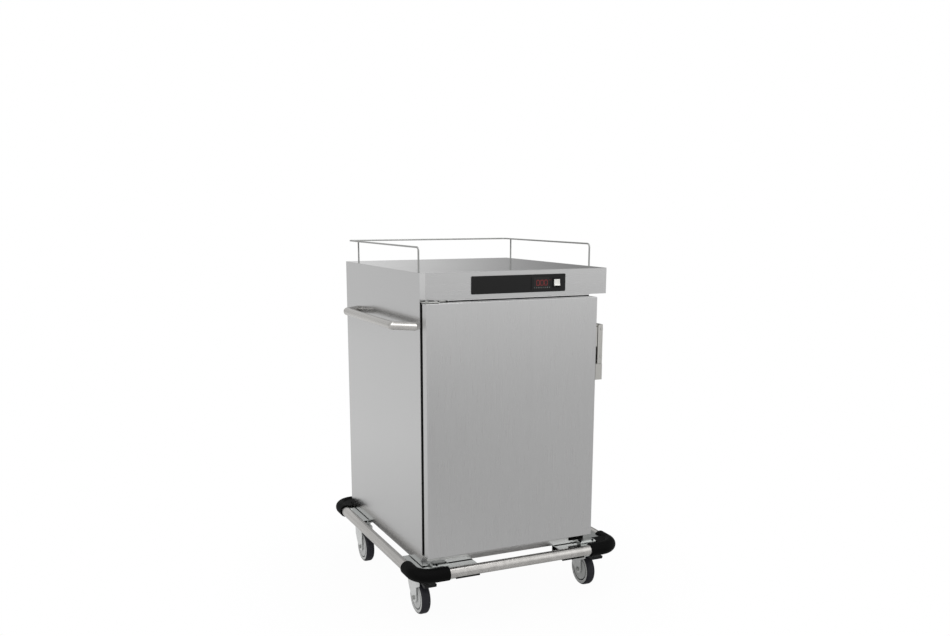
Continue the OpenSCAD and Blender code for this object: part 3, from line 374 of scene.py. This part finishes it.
# Black control plate: moulded ABS with a soft sheen, its corners rounded, clipped to the
# front of the hood over the controller's case.
CLOUD_MM = 60


def moulded(name, colour, rough, grit_mm=0.8, bump=0.05, metallic=0.0, **sockets):
    """Moulded plastic or rubber: a pebbled skin from the mould, drawn 0.8 mm or more coarse
    instead of the real 0.2 mm so that it shows, and a colour that varies faintly every 60 mm.
    Zinc plating and mineral wool have the same build, with a grit of their own."""
    material = bpy.data.materials.new(name)
    material.use_nodes = True
    tree = material.node_tree
    tree.nodes.clear()
    place = add_node(tree, "TexCoord").outputs["Object"]
    pebbles = add_node(tree, "TexNoise", {"Vector": place, "Scale": 1000 / grit_mm, "Detail": 2})
    cloud = add_node(tree, "TexNoise", {"Vector": place, "Scale": 1000 / CLOUD_MM, "Detail": 3})
    base = linear(colour)
    dark = [c * 0.88 for c in base[:3]] + [1]
    light = [min(1, c * 1.12) for c in base[:3]] + [1]
    tint = add_node(tree, "Mix", {0: cloud.outputs[0], 6: dark, 7: light}, data_type="RGBA")
    gloss = add_node(
        tree,
        "MapRange",
        {0: cloud.outputs[0], 1: 0.3, 2: 0.7, 3: rough - 0.05, 4: rough + 0.05},
    )
    relief = add_node(
        tree, "Bump", {"Height": pebbles.outputs[0], "Strength": bump, "Distance": 0.0005}
    )
    skin = add_node(
        tree,
        "BsdfPrincipled",
        {
            "Base Color": tint.outputs[2],
            "Metallic": metallic,
            "Roughness": gloss.outputs[0],
            "Normal": relief.outputs[0],
            **sockets,
        },
    )
    add_node(tree, "OutputMaterial", {0: skin.outputs[0]})
    return material


# fine moulded texture: deep black with a weak broad shine
black_plate = moulded("black_abs_plate", "#141414", 0.42, **{"Specular IOR Level": 0.22})
fascia = softened("control_fascia", "control_plate", 0.5, 3)
settle(fascia, "cabinet", "panel_black", black_plate, "control_plate")
# duller than the plate: hardly any shine
black_abs = moulded("black_abs", "#101010", 0.5, **{"Specular IOR Level": 0.15})
controller_case = softened("controller_case", "controller_body")
settle(controller_case, "cabinet", "black_plastic", black_abs, "controller_body")


# Divider on the control plate: a narrow upright line, moulded in glossy black between the
# plate's left half and the display.
line_black = moulded("black_gloss_line", "#050505", 0.3, **{"Specular IOR Level": 0.1})
divider = block("plate_divider", (412.6, 415), (-2.7, -2.4), (1151, 1194))
settle(divider, "cabinet", "panel_black", line_black)


# Display: a dark acrylic window over the controller, with three seven-segment digits in
# dull red that show a zero each, two faint lamps and a row of small plain key marks.
def joined(name, pieces):
    """Joins several objects into the first and names it."""
    bpy.ops.object.select_all(action="DESELECT")
    for piece in pieces:
        piece.select_set(True)
    bpy.context.view_layer.objects.active = pieces[0]
    bpy.ops.object.join()
    pieces[0].name = name
    return pieces[0]


# smoked acrylic: nearly black, smooth and glossy, without a mould texture
window_red = moulded("dark_acrylic", "#161313", 0.22, 2, 0.0, **{"Specular IOR Level": 0.3})
pane = softened("display_pane", "display_window", 0.3, 3)
settle(pane, "cabinet", "display_red", window_red, "display_window")
# unlit segments behind the acrylic: a dull dark red
digit_red = moulded("dull_red_segment", "#701719", 0.5, 2, 0.0)
DIGIT_WIDTH, DIGIT_HEIGHT, DIGIT_PITCH, BAR = 13.4, 20, 15.6, 2.6
UPRIGHT, RAISED = DIGIT_HEIGHT / 2 - 1, (-3.05, -2.7)
segments = []
for number in range(3):
    x, z = 434 + number * DIGIT_PITCH, 1165
    for low in (z + 0.6, z + DIGIT_HEIGHT / 2 + 0.4):
        for side in (x, x + DIGIT_WIDTH - BAR):
            segments.append(block("segment", (side, side + BAR), RAISED, (low, low + UPRIGHT)))
    for low in (z, z + DIGIT_HEIGHT - BAR):
        ends = (x + 1, x + DIGIT_WIDTH - 1)
        segments.append(block("segment", ends, RAISED, (low, low + BAR)))
for x in (484, 490):
    segments.append(block("segment", (x, x + 2), (-3.05, -2.4), (1183, 1185)))
digits = joined("display_digits", segments)
settle(digits, "cabinet", "display_red", digit_red)
# printed marks: a flat mid grey
mark_grey = moulded("grey_key_mark", "#5f6664", 0.6, 2, 0.0)
MARK_PITCH = 8.4
marks = []
for number in range(8):
    # the last mark lies off the window, on the plate
    bpy.ops.mesh.primitive_cylinder_add(
        vertices=(3, 4, 12, 6)[number % 4],
        radius=0.0021,
        depth=0.0004,
        location=at(427.5 + number * MARK_PITCH, -2.9 if number < 7 else -2.6, 1158.5),
        rotation=(math.radians(90), 0, 0),
    )
    marks.append(bpy.context.object)
settle(joined("key_marks", marks), "cabinet", "display_red", mark_grey)


# Rocker switch: a white nylon rocker with a ribbed, slightly hollow face, pressed in at its
# foot, in a black bezel.
bezel = softened("rocker_frame", "rocker_bezel", 0.5, 3)
settle(bezel, "cabinet", "black_plastic", black_abs, "rocker_bezel")
# moulded nylon: milky white with a soft shine
white_nylon = moulded("white_nylon", "#e8e8e4", 0.35)
ROCKER_MIDDLE, RIB_PITCH, RIBS = 515, 3.6, 6
rocker_parts = [softened("rocker_cap", "rocker_switch", 0.5, 3)]
for number in range(RIBS):
    x = ROCKER_MIDDLE + (number - (RIBS - 1) / 2) * RIB_PITCH
    for tilt, y, z in ((-18.3, -7.35, 1178.6), (2.3, -6.7, 1167.9)):
        bpy.ops.mesh.primitive_cube_add(
            size=1, location=at(x, y, z), rotation=(math.radians(tilt), 0, 0)
        )
        rib = bpy.context.object
        rib.scale = (0.0011, 0.0006, 0.0098)
        bpy.ops.object.transform_apply(location=True, rotation=True, scale=True)
        rocker_parts.append(rib)
settle(joined("rocker_cap", rocker_parts), "rocker", "rocker_white", white_nylon, "rocker_switch")


# Warm-air parts in the chamber's ceiling and the hood: motor, impeller, ring heater and
# the baffle sheet below them.
# smooth-rolled: a soft clean shine
liner_steel = brushed("smooth_stainless_liner", "#c8c8c5", 0.3, "z", 0.02)
# tinted by heat: a brown metal tube
heater_skin = brushed("heat_tinted_steel", "#8a7a6a", 0.4, "z", 0.15)
for name, node, body, slot_name, finish in (
    ("motor_case", "fan_motor", "cabinet", "plain_steel", dull_steel),
    ("impeller_wheel", "fan_impeller", "fan", "plain_steel", liner_steel),
    ("heater_ring", "heater_element", "cabinet", "heater_steel", heater_skin),
    ("ceiling_baffle", "air_baffle", "cabinet", "liner_steel", liner_steel),
    ("humidity_pan", "water_pan", "cabinet", "liner_steel", liner_steel),
    ("chamber_liner", "inner_liner", "cabinet", "liner_steel", liner_steel),
    ("runner_rack_left", "rack_left", "cabinet", "liner_steel", liner_steel),
    ("runner_rack_right", "rack_right", "cabinet", "liner_steel", liner_steel),
):
    settle(softened(name, node), body, slot_name, finish, node)


# Mineral wool in the walls and in the door: pressed yellow-grey slabs, laid in between the
# sheets and hidden by them.
# matt and fibrous: no shine at all
wool = moulded("mineral_wool", "#cfc9a8", 0.95, 4, 0.6)
settle(softened("body_wool", "insulation", 0), "cabinet", "mineral_wool", wool, "insulation")
settle(softened("door_wool", "door_insulation", 0), "door", "mineral_wool", wool, "door_insulation")


# Door: a brushed stainless skin folded back at its edges, less far at the sides than at
# the top and bottom, and closed by an inner sheet.
# brushed upright: hairlines that spread the light sideways to an even grey
door_steel = brushed("brushed_stainless_door", "#c2c2c2", 0.3, "z", 0.012, 2.5, 0.011)
DOOR_WIDTH, DOOR_FRONT, DOOR_BACK, SIDE_RETURN_END = 650, -56, -14, -24
DOOR_FOOT, DOOR_TOP = 247, 1123
door_skin = block("door_skin", (0, DOOR_WIDTH), (DOOR_FRONT, DOOR_BACK), (DOOR_FOOT, DOOR_TOP))
pick(door_skin, "faces", lambda f: f.normal.y > 0.5)
bpy.ops.mesh.delete(type="FACE")
bpy.ops.object.mode_set(mode="OBJECT")
rounded(door_skin, 2, 5, 60)
pick(door_skin, "faces", lambda f: True)
bpy.ops.mesh.bisect(plane_co=at(0, SIDE_RETURN_END, 0), plane_no=(0, 1, 0))
bpy.ops.object.mode_set(mode="OBJECT")
pick(door_skin, "faces", lambda f: abs(f.normal.x) > 0.5 and middle(f).y > SIDE_RETURN_END)
bpy.ops.mesh.delete(type="FACE")
bpy.ops.object.mode_set(mode="OBJECT")
modify(door_skin, "SOLIDIFY", thickness=SHEET / 1000, offset=-1)
settle(door_skin, "door", "door_steel", door_steel, "door_outer")
settle(softened("door_back_sheet", "door_inner"), "door", "door_steel", door_steel, "door_inner")


# Door gasket: black silicone profile pressed over the inner sheet's edge all round, so
# that the whole gap between door and body looks black from the side.
# matt black silicone without any shine; the same black paints the shade in the gaps above the
# closed door and round the upper hinge arm
black_silicone_and_gap_shade = moulded("black_silicone_and_gap_shade", "#030303", 0.7, **{"Specular IOR Level": 0.02})
GASKET_WIDTH = 28
door_seal = block(
    "door_seal", (0.4, DOOR_WIDTH - 0.4), (-24.5, -0.3), (DOOR_FOOT + 4, DOOR_TOP - 4)
)
pick(door_seal, "faces", lambda f: abs(f.normal.y) > 0.5)
bpy.ops.mesh.inset(thickness=GASKET_WIDTH / 1000)
bpy.ops.mesh.bridge_edge_loops()
bpy.ops.object.mode_set(mode="OBJECT")
rounded(door_seal, 3, 4)
settle(door_seal, "door", "gasket_rubber", black_silicone_and_gap_shade, "door_gasket")


# Painted shade: a thin black strip on the body a little under the hood, which shows as the dark
# line of shade above the closed door, and a black block between the upper hinge arm and the body
# for the shade above the arm.
hood_gap_shade = block("hood_gap_shade", (1, 648), (-2.6, -0.1), (1119.3, 1125.4))
arm_gap_shade = block("arm_gap_shade", (1.5, 49), (-13.6, -0.1), (1124.4, 1128.6))
hood_gap_shade = joined("hood_gap_shade", [hood_gap_shade, arm_gap_shade])
rounded(hood_gap_shade, 0.4, 2)
settle(hood_gap_shade, "cabinet", "gasket_rubber", black_silicone_and_gap_shade)


# Hinges: stainless arms screwed to the body above and below the door, with pins that
# turn in bronze bushes. The upper arm is a plate with a narrow tail for its two screws.
# cut plate: a plain satin shine
arm_steel = brushed("stainless_arm", "#bdbebb", 0.3, "x", 0.03)
# oiled sintered bronze: a dull brown yellow
bronze = brushed("sintered_bronze", "#b08d57", 0.45, "z", 0.05)
# blackened screw heads: small dark dots; the same black paints the shade under the upper hinge
# arm and in the gussets' holes
dark_screw = moulded("blackened_screw_and_shade", "#0b0b0b", 0.5, **{"Specular IOR Level": 0.15})
TAIL_FRONT, TAIL_LENGTH = -12, 50
top_arm = block("top_arm", (0, 50), (-52, -3.5), (1125, 1127.6))
pick(top_arm, "faces", lambda f: f.normal.x > 0.5)
bpy.ops.mesh.select_all(action="SELECT")
bpy.ops.mesh.bisect(plane_co=at(0, TAIL_FRONT, 0), plane_no=(0, 1, 0))
bpy.ops.object.mode_set(mode="OBJECT")
pick(top_arm, "faces", lambda f: f.normal.x > 0.5 and middle(f).y > TAIL_FRONT)
bpy.ops.mesh.extrude_region_move(TRANSFORM_OT_translate={"value": (TAIL_LENGTH / 1000, 0, 0)})
bpy.ops.object.mode_set(mode="OBJECT")
rounded(top_arm, 0.4)
# the black plate under the front of the upper arm is painted shade of the slit beneath it
shade_and_discs = [block("arm_underside_shade", (1, 47), (-51.5, -30), (1123.4, 1124.9))]
for x in (62, 92):
    bpy.ops.mesh.primitive_cylinder_add(
        vertices=24,
        radius=0.0032,
        depth=0.0018,
        location=at(x, TAIL_FRONT - 1, 1125),
        rotation=(math.radians(90), 0, 0),
    )
    shade_and_discs.append(bpy.context.object)
arm_shade_and_discs = joined("arm_shade_and_discs", shade_and_discs)
bpy.ops.object.transform_apply(location=True, rotation=True, scale=True)
settle(arm_shade_and_discs, "cabinet", "dark_screw", dark_screw)
settle(top_arm, "cabinet", "bracket_steel", arm_steel, "hinge_arm_top")
for name, node, body, slot_name, finish in (
    ("bottom_arm", "hinge_arm_bottom", "cabinet", "bracket_steel", arm_steel),
    ("pivot_pins", "hinge_pins", "cabinet", "plain_steel", dull_steel),
    ("pivot_bushes", "hinge_bushes", "door", "bush_bronze", bronze),
    ("arm_screws", "hinge_screws", "cabinet", "dark_screw", dark_screw),
):
    settle(softened(name, node), body, slot_name, finish, node)


# Latch: a stainless base on the door's right edge with a pull lever on an upright pin,
# and a strike bracket on the body for its magnet.
# cast and ground: a soft shine with upright lines
latch_steel = brushed("stainless_latch", "#c0bfbb", 0.32, "z", 0.03)
for name, node, body, slot_name in (
    ("latch_case", "latch_base", "door", "cabinet_steel"),
    ("latch_lever", "latch_handle", "latch_lever", "satin_tube"),
    ("latch_axle", "latch_pin", "door", "plain_steel"),
    ("strike_plate", "latch_strike", "cabinet", "cabinet_steel"),
):
    settle(softened(name, node, 0.6, 3), body, slot_name, latch_steel, node)


# Gallery rail, push handle and bumper tubes: ground and bent stainless rod and tube, screwed
# to the cabinet. The handle is drawn a little fatter than the plain solid, as in the picture.
# ground round and round: long highlights broken up by short streaks
tube_steel = brushed("satin_stainless_tube", "#bebcb9", 0.27, "y", 0.13, 4.0, 0.05)
handle_steel = brushed("satin_stainless_handle", "#bcbab7", 0.27, "y", 0.1, 4.0, 0.04)
# the rail: the same satin stainless as the tubes, made darker grey as painted shade
rail_steel_painted_darker = brushed("satin_stainless_rail_painted_darker", "#979896", 0.27, "z", 0.06)
HANDLE_EXTRA = 2.5
for name, node, finish in (
    ("deck_rail", "gallery_rail", rail_steel_painted_darker),
    ("push_bar", "push_handle", handle_steel),
    ("frame_tubes", "bumper_tubes", tube_steel),
):
    tube = softened(name, node, 0)
    if name == "push_bar":
        modify(tube, "DISPLACE", strength=HANDLE_EXTRA / 1000, mid_level=0)
    settle(tube, "cabinet", "satin_tube", finish, node)


# Corner bumpers: elbows of matt black rubber, moulded in one piece each and pushed over the
# ends of the bumper tubes.
# soft rubber: matt black with almost no shine; the same black paints the bumper's reflection on
# the body's front band and the shade under the tubes and inside the bends
bumper_rubber = moulded("black_rubber_and_painted_dark", "#090909", 0.55, 1.5, 0.1, **{"Specular IOR Level": 0.04})
elbows = softened("bumper_elbows", "corner_bumpers", 1.5, 3)
settle(elbows, "cabinet", "bumper_rubber", bumper_rubber, "corner_bumpers")


# Corner brackets: punched and folded stainless sheet, bolted to the base, that ties the
# tubes, the castors and the body together.
# bare sheet, hardly brushed: the brightest steel of the trolley
bracket_steel = brushed("plain_stainless_bracket", "#d4d7d5", 0.16, "x", 0.01, 3.0, 0.004)
corner_plates = softened("corner_plates", "corner_brackets", 0.5)
settle(corner_plates, "cabinet", "bracket_steel", bracket_steel, "corner_brackets")


# Gussets: a small pressed steel cushion on each front bracket, against the body's front,
# with a black disc in its hole as painted shade.
# dulled by the press: a soft grey roll of light
gusset_steel = brushed("pressed_stainless_gusset", "#b4b7b5", 0.36, "x", 0.01, 3.0, 0.002)
GUSSET_WIDTH, GUSSET_CROWN = 66, 12.8
for name, left, hole in (("gusset_fl", 26, 44), ("gusset_fr", 624, 676)):
    gusset = block(name, (left, left + GUSSET_WIDTH), (-30, -0.4), (201.4, 215))
    pick(gusset, "edges", lambda e: middle(e).z > 212 and middle(e).y < -1)
    bpy.ops.mesh.bevel(offset=GUSSET_CROWN / 1000, segments=8, affect="EDGES")
    bpy.ops.object.mode_set(mode="OBJECT")
    bpy.ops.object.shade_smooth_by_angle(angle=SMOOTH_BELOW)
    settle(gusset, "cabinet", "bracket_steel", gusset_steel)
    # the black disc: painted shade in the hole
    bpy.ops.mesh.primitive_cylinder_add(
        vertices=24,
        radius=0.0045,
        depth=0.003,
        location=at(hole, -25.6, 210.8),
        rotation=(math.radians(42), 0, 0),
    )
    hole_shade = bpy.context.object
    hole_shade.name = name + "_hole_shade"
    bpy.ops.object.transform_apply(location=True, rotation=True, scale=True)
    settle(hole_shade, "cabinet", "dark_screw", dark_screw)


# Painted reflection and shade: a black strip on the body's front band, low at the latch side,
# where the band mirrors the black bumper, and black strips on the front edges of the front
# brackets for the shade under the tubes.
band_reflection_strip = block("band_reflection_strip", (588, 649), (-3, -0.1), (213, 241))
rounded(band_reflection_strip, 0.8, 2)
settle(band_reflection_strip, "cabinet", "bumper_rubber", bumper_rubber)
for name, low, high in (("tube_shade_fl", 101, 193.4), ("tube_shade_fr", 526.6, 620)):
    tube_shade = block(name, (low, high), (-64.2, -61.8), (164, 169))
    rounded(tube_shade, 0.4, 2)
    settle(tube_shade, "cabinet", "bumper_rubber", bumper_rubber)


# Corner pads: black pads, painted shade and reflection, that fill the inside of three of the
# bumper bends and lie on the brackets, where the bends look dark inside. The front left corner
# has none, there the bright bracket shows.
BEND_SHADE_FOOT, BEND_SHADE_TOP, BEND_RADIUS = 201.6, 208, 61.5
for name, x, y, corner in (
    ("bend_shade_fr", (690, 757), (-58, 9), (757, -58)),
    ("bend_shade_rr", (690, 757), (809, 876), (757, 876)),
    ("bend_shade_rl", (-37, 30), (809, 876), (-37, 876)),
):
    bend_shade = block(name, x, y, (BEND_SHADE_FOOT, BEND_SHADE_TOP))
    pick(
        bend_shade,
        "edges",
        lambda e: abs(middle(e).x - corner[0]) < 1 and abs(middle(e).y - corner[1]) < 1,
    )
    bpy.ops.mesh.bevel(offset=BEND_RADIUS / 1000, segments=10, affect="EDGES")
    bpy.ops.object.mode_set(mode="OBJECT")
    if name == "bend_shade_rl":
        arm_bend_shade = block("arm_bend_shade", (-37, -1), (768, 812), (BEND_SHADE_FOOT, BEND_SHADE_TOP - 0.2))
        bend_shade = joined(name, [bend_shade, arm_bend_shade])
    rounded(bend_shade, 1, 2)
    settle(bend_shade, "cabinet", "bumper_rubber", bumper_rubber)


# Castors: forks and top plates of pressed, zinc plated steel, moulded grey nylon wheel
# centres and dark rubber tyres, held by axle bolts and by king pins under the brackets.
# zinc plating: a pale, half-metallic sheen with a faint spangle
zinc_steel = moulded("zinc_plated_steel", "#dcdddc", 0.33, 2, 0.02, metallic=0.45)
# worn rubber: a dark blue grey, dull
tyre_rubber = moulded("grey_rubber_tyre", "#1b1b22", 0.6, 1.5, 0.08, **{"Specular IOR Level": 0.3})
# moulded nylon: a light even grey
wheel_grey = moulded("grey_nylon_wheel", "#b9bab9", 0.45)
PIN_SHAVING = 0.3
top_plates = softened("castor_top_plates", "castor_plates", 0.5)
swivels = {
    "fl": Vector((20.5, 112.5)),
    "fr": Vector((699.5, 112.5)),
    "rl": Vector((13, 700)),
    "rr": Vector((707, 700)),
}
for swivel in swivels.values():
    # the king pin is drawn with a little less radius, so that its flats clear the turning fork
    pick(
        top_plates,
        "faces",
        lambda f: (middle(f).xy - swivel).length < 9
        and middle(f).z < 156
        and abs(f.normal.z) < 0.3,
    )
    bpy.ops.transform.shrink_fatten(value=-PIN_SHAVING / 1000)
    bpy.ops.object.mode_set(mode="OBJECT")
settle(top_plates, "cabinet", "zinc", zinc_steel, "castor_plates")
for corner in swivels:
    for name, node, width, body, slot_name, finish in (
        ("fork_", "castor_fork_", 0.5, "castor_", "zinc", zinc_steel),
        ("bolt_", "axle_bolt_", 0.4, "castor_", "zinc", dull_steel),
        ("centre_", "wheel_centre_", 0.5, "wheel_", "wheel_plastic", wheel_grey),
        ("tyre_", "wheel_tyre_", 0, "wheel_", "tyre", tyre_rubber),
    ):
        piece = softened(name + corner, node + corner, width)
        settle(piece, body + corner, slot_name, finish, node + corner)


# Groove rings and brake pedals: a dark rubber ring in the groove on each side of every wheel
# centre, and the black nylon pedals of the two front castors.
TRAIL, AXLE_HEIGHT, RING_SIDE = 40, 62.5, 14.3
for corner, swivel in swivels.items():
    rings = []
    for side in (-RING_SIDE, RING_SIDE):
        bpy.ops.mesh.primitive_torus_add(
            major_segments=64,
            minor_segments=10,
            major_radius=0.0435,
            minor_radius=0.0019,
            location=at(swivel.x + side, swivel.y - TRAIL, AXLE_HEIGHT),
            rotation=(0, math.radians(90), 0),
        )
        rings.append(bpy.context.object)
    groove_rings = joined("groove_rings_" + corner, rings)
    bpy.ops.object.transform_apply(location=True, rotation=True, scale=True)
    bpy.ops.object.shade_smooth()
    settle(groove_rings, "wheel_" + corner, "tyre", tyre_rubber)
# glass-filled nylon: black with a weak shine
pedal_black = moulded("black_nylon_pedal", "#0f0f11", 0.45, **{"Specular IOR Level": 0.2})
for corner in ("fl", "fr"):
    pedal = softened("pedal_" + corner, "brake_pedal_" + corner, 0.8, 3)
    settle(pedal, "brake_" + corner, "pedal_plastic", pedal_black, "brake_pedal_" + corner)


# Mains inlet: a moulded black appliance inlet, pressed into its cut-out in the back of the
# hood.
mains_inlet = softened("mains_inlet", "power_inlet", 0.4)
settle(mains_inlet, "cabinet", "black_plastic", black_abs, "power_inlet")
